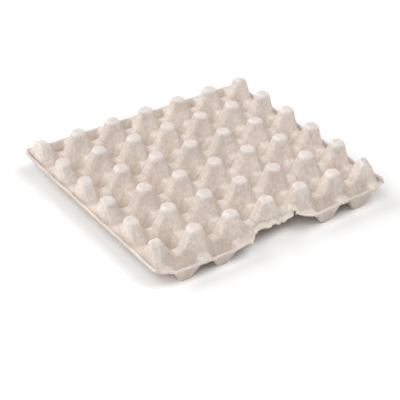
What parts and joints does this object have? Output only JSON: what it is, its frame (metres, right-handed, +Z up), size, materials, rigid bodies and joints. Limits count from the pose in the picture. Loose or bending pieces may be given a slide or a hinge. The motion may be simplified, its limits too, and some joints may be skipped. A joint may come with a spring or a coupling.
{
  "type": "pulp egg tray",
  "caption": "Moulded pulp tray that holds eggs in a square grid of cells between hollow posts, with half cells under a straight rim and one torn side.",
  "frame": {"origin": "middle of the tray's box, on the table that it stands on", "axes": "+X along the longer sides with the half cells, +Z up out of the cells, torn side at -Y"},
  "size_m": [0.305, 0.29, 0.046],
  "materials": {
    "pulp": "matte"
  },
  "bodies": {
    "root": {"tray": "pulp"}
  },
  "joints": []
}
